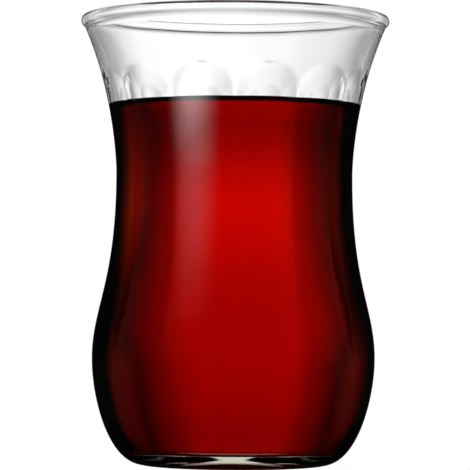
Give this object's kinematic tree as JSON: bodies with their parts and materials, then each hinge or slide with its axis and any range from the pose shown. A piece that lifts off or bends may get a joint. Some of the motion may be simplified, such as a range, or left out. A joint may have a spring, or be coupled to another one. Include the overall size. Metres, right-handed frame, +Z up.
{
  "type": "turkish tea glass",
  "caption": "Small waisted clear tea glass with a flared beaded mouth and flutes inside its wall, filled near the top with deep red black tea.",
  "frame": {"origin": "middle of the foot ring, on the surface that the glass stands on", "axes": "+Z up along the glass's axis; -Y faces the picture's camera, with a ridge between two flutes on it"},
  "size_m": [0.062, 0.062, 0.09],
  "materials": {
    "clear_glass": "clear fire-polished soda-lime glass, grey-green at its edges",
    "black_tea": "still strong black tea, deep red where light comes through, near black at the sides"
  },
  "bodies": {
    "root": {"glass": "clear_glass", "tea": "black_tea"}
  },
  "joints": []
}
